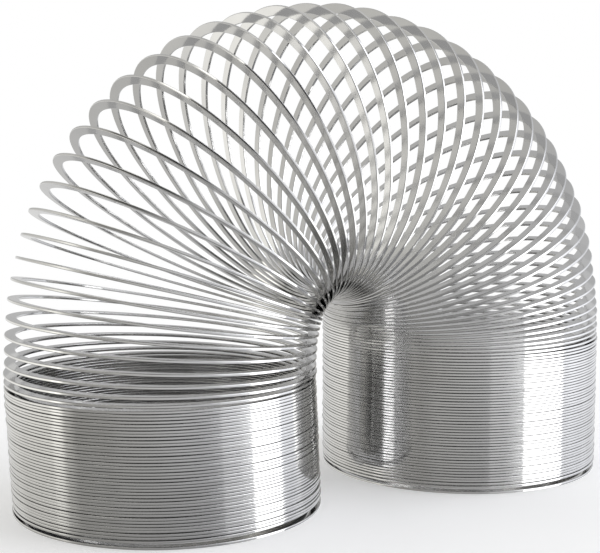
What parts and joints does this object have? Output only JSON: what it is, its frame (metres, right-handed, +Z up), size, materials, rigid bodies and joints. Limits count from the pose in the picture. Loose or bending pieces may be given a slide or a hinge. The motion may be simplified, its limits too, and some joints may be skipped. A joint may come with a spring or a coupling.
{
  "type": "spring coil toy",
  "caption": "Flat-wire steel coil toy standing as an arch on two closed stacks; the fanned turns between them hinge one on the next and fold the arch into one column.",
  "frame": {"origin": "middle of the footprint's bounding box, on the surface that both stacks stand on", "axes": "+Z up; the arch lies in the XZ plane with the near stack on -X and the far stack on +X; Y runs across the coil"},
  "size_m": [0.1528, 0.07, 0.1144],
  "materials": {
    "wire_steel": "bright rolled flat steel wire, satin along its rolled edges",
    "crimp_steel": "plain sheet steel, pressed flat round the wire"
  },
  "bodies": {
    "near_end": {"near_stack": "wire_steel", "near_end_crimp": "crimp_steel"},
    "turn_01": {"fan_turn_01": "wire_steel"},
    "turn_02": {"fan_turn_02": "wire_steel"},
    "turn_03": {"fan_turn_03": "wire_steel"},
    "turn_04": {"fan_turn_04": "wire_steel"},
    "turn_05": {"fan_turn_05": "wire_steel"},
    "turn_06": {"fan_turn_06": "wire_steel"},
    "turn_07": {"fan_turn_07": "wire_steel"},
    "turn_08": {"fan_turn_08": "wire_steel"},
    "turn_09": {"fan_turn_09": "wire_steel"},
    "turn_10": {"fan_turn_10": "wire_steel"},
    "turn_11": {"fan_turn_11": "wire_steel"},
    "turn_12": {"fan_turn_12": "wire_steel"},
    "turn_13": {"fan_turn_13": "wire_steel"},
    "turn_14": {"fan_turn_14": "wire_steel"},
    "turn_15": {"fan_turn_15": "wire_steel"},
    "turn_16": {"fan_turn_16": "wire_steel"},
    "turn_17": {"fan_turn_17": "wire_steel"},
    "turn_18": {"fan_turn_18": "wire_steel"},
    "turn_19": {"fan_turn_19": "wire_steel"},
    "turn_20": {"fan_turn_20": "wire_steel"},
    "turn_21": {"fan_turn_21": "wire_steel"},
    "turn_22": {"fan_turn_22": "wire_steel"},
    "turn_23": {"fan_turn_23": "wire_steel"},
    "turn_24": {"fan_turn_24": "wire_steel"},
    "turn_25": {"fan_turn_25": "wire_steel"},
    "turn_26": {"fan_turn_26": "wire_steel"},
    "turn_27": {"fan_turn_27": "wire_steel"},
    "turn_28": {"fan_turn_28": "wire_steel"},
    "turn_29": {"fan_turn_29": "wire_steel"},
    "turn_30": {"fan_turn_30": "wire_steel"},
    "turn_31": {"fan_turn_31": "wire_steel"},
    "turn_32": {"fan_turn_32": "wire_steel"},
    "turn_33": {"fan_turn_33": "wire_steel"},
    "turn_34": {"fan_turn_34": "wire_steel"},
    "turn_35": {"fan_turn_35": "wire_steel"},
    "turn_36": {"fan_turn_36": "wire_steel"},
    "turn_37": {"fan_turn_37": "wire_steel"},
    "turn_38": {"fan_turn_38": "wire_steel"},
    "turn_39": {"fan_turn_39": "wire_steel"},
    "turn_40": {"fan_turn_40": "wire_steel"},
    "turn_41": {"fan_turn_41": "wire_steel"},
    "turn_42": {"fan_turn_42": "wire_steel"},
    "turn_43": {"fan_turn_43": "wire_steel"},
    "turn_44": {"fan_turn_44": "wire_steel"},
    "far_end": {"far_stack": "wire_steel", "far_end_crimp": "crimp_steel"}
  },
  "joints": [
    {"name": "fold_01", "type": "hinge", "parent": "near_end", "child": "turn_01", "pos_m": [-0.00764, 0, 0.02946], "axis": [0, -1, 0], "range_deg": [0, 0.7734]},
    {"name": "fold_02", "type": "hinge", "parent": "turn_01", "child": "turn_02", "pos_m": [-0.00761, 0, 0.03058], "axis": [0, -1, 0], "range_deg": [0, 0.9145]},
    {"name": "fold_03", "type": "hinge", "parent": "turn_02", "child": "turn_03", "pos_m": [-0.00756, 0, 0.03199], "axis": [0, -1, 0], "range_deg": [0, 1.14]},
    {"name": "fold_04", "type": "hinge", "parent": "turn_03", "child": "turn_04", "pos_m": [-0.00747, 0, 0.03362], "axis": [0, -1, 0], "range_deg": [0, 1.45]},
    {"name": "fold_05", "type": "hinge", "parent": "turn_04", "child": "turn_05", "pos_m": [-0.00733, 0, 0.03534], "axis": [0, -1, 0], "range_deg": [0, 1.83]},
    {"name": "fold_06", "type": "hinge", "parent": "turn_05", "child": "turn_06", "pos_m": [-0.00715, 0, 0.03698], "axis": [0, -1, 0], "range_deg": [0, 2.27]},
    {"name": "fold_07", "type": "hinge", "parent": "turn_06", "child": "turn_07", "pos_m": [-0.00693, 0, 0.0384], "axis": [0, -1, 0], "range_deg": [0, 2.74]},
    {"name": "fold_08", "type": "hinge", "parent": "turn_07", "child": "turn_08", "pos_m": [-0.0067, 0, 0.03953], "axis": [0, -1, 0], "range_deg": [0, 3.24]},
    {"name": "fold_09", "type": "hinge", "parent": "turn_08", "child": "turn_09", "pos_m": [-0.00648, 0, 0.04037], "axis": [0, -1, 0], "range_deg": [0, 3.74]},
    {"name": "fold_10", "type": "hinge", "parent": "turn_09", "child": "turn_10", "pos_m": [-0.00625, 0, 0.04104], "axis": [0, -1, 0], "range_deg": [0, 4.22]},
    {"name": "fold_11", "type": "hinge", "parent": "turn_10", "child": "turn_11", "pos_m": [-0.00599, 0, 0.04167], "axis": [0, -1, 0], "range_deg": [0, 4.68]},
    {"name": "fold_12", "type": "hinge", "parent": "turn_11", "child": "turn_12", "pos_m": [-0.00568, 0, 0.04226], "axis": [0, -1, 0], "range_deg": [0, 5.09]},
    {"name": "fold_13", "type": "hinge", "parent": "turn_12", "child": "turn_13", "pos_m": [-0.00532, 0, 0.04283], "axis": [0, -1, 0], "range_deg": [0, 5.44]},
    {"name": "fold_14", "type": "hinge", "parent": "turn_13", "child": "turn_14", "pos_m": [-0.00491, 0, 0.04337], "axis": [0, -1, 0], "range_deg": [0, 5.71]},
    {"name": "fold_15", "type": "hinge", "parent": "turn_14", "child": "turn_15", "pos_m": [-0.00444, 0, 0.04386], "axis": [0, -1, 0], "range_deg": [0, 5.9]},
    {"name": "fold_16", "type": "hinge", "parent": "turn_15", "child": "turn_16", "pos_m": [-0.00393, 0, 0.04429], "axis": [0, -1, 0], "range_deg": [0, 6]},
    {"name": "fold_17", "type": "hinge", "parent": "turn_16", "child": "turn_17", "pos_m": [-0.00337, 0, 0.04468], "axis": [0, -1, 0], "range_deg": [0, 6.01]},
    {"name": "fold_18", "type": "hinge", "parent": "turn_17", "child": "turn_18", "pos_m": [-0.00278, 0, 0.045], "axis": [0, -1, 0], "range_deg": [0, 6.01]},
    {"name": "fold_19", "type": "hinge", "parent": "turn_18", "child": "turn_19", "pos_m": [-0.00215, 0, 0.04526], "axis": [0, -1, 0], "range_deg": [0, 6.01]},
    {"name": "fold_20", "type": "hinge", "parent": "turn_19", "child": "turn_20", "pos_m": [-0.00151, 0, 0.04545], "axis": [0, -1, 0], "range_deg": [0, 6.01]},
    {"name": "fold_21", "type": "hinge", "parent": "turn_20", "child": "turn_21", "pos_m": [-0.00084, 0, 0.04557], "axis": [0, -1, 0], "range_deg": [0, 6.01]},
    {"name": "fold_22", "type": "hinge", "parent": "turn_21", "child": "turn_22", "pos_m": [-0.00017, 0, 0.04562], "axis": [0, -1, 0], "range_deg": [0, 6.01]},
    {"name": "arch_fold", "type": "hinge", "parent": "turn_22", "child": "turn_23", "pos_m": [0.00051, 0, 0.0456], "axis": [0, -1, 0], "range_deg": [0, 6.01]},
    {"name": "fold_24", "type": "hinge", "parent": "turn_23", "child": "turn_24", "pos_m": [0.00117, 0, 0.04551], "axis": [0, -1, 0], "range_deg": [0, 6.01]},
    {"name": "fold_25", "type": "hinge", "parent": "turn_24", "child": "turn_25", "pos_m": [0.00183, 0, 0.04536], "axis": [0, -1, 0], "range_deg": [0, 5.96]},
    {"name": "fold_26", "type": "hinge", "parent": "turn_25", "child": "turn_26", "pos_m": [0.00247, 0, 0.04513], "axis": [0, -1, 0], "range_deg": [0, 5.88]},
    {"name": "fold_27", "type": "hinge", "parent": "turn_26", "child": "turn_27", "pos_m": [0.00308, 0, 0.04484], "axis": [0, -1, 0], "range_deg": [0, 5.76]},
    {"name": "fold_28", "type": "hinge", "parent": "turn_27", "child": "turn_28", "pos_m": [0.00365, 0, 0.04449], "axis": [0, -1, 0], "range_deg": [0, 5.61]},
    {"name": "fold_29", "type": "hinge", "parent": "turn_28", "child": "turn_29", "pos_m": [0.00419, 0, 0.04409], "axis": [0, -1, 0], "range_deg": [0, 5.42]},
    {"name": "fold_30", "type": "hinge", "parent": "turn_29", "child": "turn_30", "pos_m": [0.00469, 0, 0.04363], "axis": [0, -1, 0], "range_deg": [0, 5.2]},
    {"name": "fold_31", "type": "hinge", "parent": "turn_30", "child": "turn_31", "pos_m": [0.00515, 0, 0.04314], "axis": [0, -1, 0], "range_deg": [0, 4.96]},
    {"name": "fold_32", "type": "hinge", "parent": "turn_31", "child": "turn_32", "pos_m": [0.00556, 0, 0.0426], "axis": [0, -1, 0], "range_deg": [0, 4.69]},
    {"name": "fold_33", "type": "hinge", "parent": "turn_32", "child": "turn_33", "pos_m": [0.00593, 0, 0.04203], "axis": [0, -1, 0], "range_deg": [0, 4.39]},
    {"name": "fold_34", "type": "hinge", "parent": "turn_33", "child": "turn_34", "pos_m": [0.00625, 0, 0.04144], "axis": [0, -1, 0], "range_deg": [0, 4.08]},
    {"name": "fold_35", "type": "hinge", "parent": "turn_34", "child": "turn_35", "pos_m": [0.00653, 0, 0.04083], "axis": [0, -1, 0], "range_deg": [0, 3.75]},
    {"name": "fold_36", "type": "hinge", "parent": "turn_35", "child": "turn_36", "pos_m": [0.00677, 0, 0.04019], "axis": [0, -1, 0], "range_deg": [0, 3.42]},
    {"name": "fold_37", "type": "hinge", "parent": "turn_36", "child": "turn_37", "pos_m": [0.00697, 0, 0.03955], "axis": [0, -1, 0], "range_deg": [0, 3.08]},
    {"name": "fold_38", "type": "hinge", "parent": "turn_37", "child": "turn_38", "pos_m": [0.00714, 0, 0.0389], "axis": [0, -1, 0], "range_deg": [0, 2.74]},
    {"name": "fold_39", "type": "hinge", "parent": "turn_38", "child": "turn_39", "pos_m": [0.00727, 0, 0.03823], "axis": [0, -1, 0], "range_deg": [0, 2.4]},
    {"name": "fold_40", "type": "hinge", "parent": "turn_39", "child": "turn_40", "pos_m": [0.00738, 0, 0.03757], "axis": [0, -1, 0], "range_deg": [0, 2.07]},
    {"name": "fold_41", "type": "hinge", "parent": "turn_40", "child": "turn_41", "pos_m": [0.00746, 0, 0.0369], "axis": [0, -1, 0], "range_deg": [0, 1.75]},
    {"name": "fold_42", "type": "hinge", "parent": "turn_41", "child": "turn_42", "pos_m": [0.00752, 0, 0.03623], "axis": [0, -1, 0], "range_deg": [0, 1.45]},
    {"name": "fold_43", "type": "hinge", "parent": "turn_42", "child": "turn_43", "pos_m": [0.00756, 0, 0.03555], "axis": [0, -1, 0], "range_deg": [0, 1.16]},
    {"name": "fold_44", "type": "hinge", "parent": "turn_43", "child": "turn_44", "pos_m": [0.0076, 0, 0.03488], "axis": [0, -1, 0], "range_deg": [0, 0.9069]},
    {"name": "fold_45", "type": "hinge", "parent": "turn_44", "child": "far_end", "pos_m": [0.00762, 0, 0.0342], "axis": [0, -1, 0], "range_deg": [0, 0.6763]}
  ],
  "couplings": [
    {"joint": "fold_01", "follows": "arch_fold", "ratio": 0.12858},
    {"joint": "fold_02", "follows": "arch_fold", "ratio": 0.15204},
    {"joint": "fold_03", "follows": "arch_fold", "ratio": 0.19021},
    {"joint": "fold_04", "follows": "arch_fold", "ratio": 0.2417},
    {"joint": "fold_05", "follows": "arch_fold", "ratio": 0.30467},
    {"joint": "fold_06", "follows": "arch_fold", "ratio": 0.37683},
    {"joint": "fold_07", "follows": "arch_fold", "ratio": 0.4556},
    {"joint": "fold_08", "follows": "arch_fold", "ratio": 0.53813},
    {"joint": "fold_09", "follows": "arch_fold", "ratio": 0.62145},
    {"joint": "fold_10", "follows": "arch_fold", "ratio": 0.70255},
    {"joint": "fold_11", "follows": "arch_fold", "ratio": 0.77852},
    {"joint": "fold_12", "follows": "arch_fold", "ratio": 0.84661},
    {"joint": "fold_13", "follows": "arch_fold", "ratio": 0.90437},
    {"joint": "fold_14", "follows": "arch_fold", "ratio": 0.94972},
    {"joint": "fold_15", "follows": "arch_fold", "ratio": 0.98103},
    {"joint": "fold_16", "follows": "arch_fold", "ratio": 0.99717},
    {"joint": "fold_17", "follows": "arch_fold", "ratio": 1},
    {"joint": "fold_18", "follows": "arch_fold", "ratio": 1},
    {"joint": "fold_19", "follows": "arch_fold", "ratio": 1},
    {"joint": "fold_20", "follows": "arch_fold", "ratio": 1},
    {"joint": "fold_21", "follows": "arch_fold", "ratio": 1},
    {"joint": "fold_22", "follows": "arch_fold", "ratio": 1},
    {"joint": "fold_24", "follows": "arch_fold", "ratio": 0.99861},
    {"joint": "fold_25", "follows": "arch_fold", "ratio": 0.99156},
    {"joint": "fold_26", "follows": "arch_fold", "ratio": 0.97815},
    {"joint": "fold_27", "follows": "arch_fold", "ratio": 0.95854},
    {"joint": "fold_28", "follows": "arch_fold", "ratio": 0.933},
    {"joint": "fold_29", "follows": "arch_fold", "ratio": 0.90185},
    {"joint": "fold_30", "follows": "arch_fold", "ratio": 0.86549},
    {"joint": "fold_31", "follows": "arch_fold", "ratio": 0.8244},
    {"joint": "fold_32", "follows": "arch_fold", "ratio": 0.77911},
    {"joint": "fold_33", "follows": "arch_fold", "ratio": 0.73021},
    {"joint": "fold_34", "follows": "arch_fold", "ratio": 0.67832},
    {"joint": "fold_35", "follows": "arch_fold", "ratio": 0.62413},
    {"joint": "fold_36", "follows": "arch_fold", "ratio": 0.56833},
    {"joint": "fold_37", "follows": "arch_fold", "ratio": 0.51164},
    {"joint": "fold_38", "follows": "arch_fold", "ratio": 0.4548},
    {"joint": "fold_39", "follows": "arch_fold", "ratio": 0.39855},
    {"joint": "fold_40", "follows": "arch_fold", "ratio": 0.34361},
    {"joint": "fold_41", "follows": "arch_fold", "ratio": 0.29069},
    {"joint": "fold_42", "follows": "arch_fold", "ratio": 0.24049},
    {"joint": "fold_43", "follows": "arch_fold", "ratio": 0.19365},
    {"joint": "fold_44", "follows": "arch_fold", "ratio": 0.15078},
    {"joint": "fold_45", "follows": "arch_fold", "ratio": 0.11242}
  ]
}
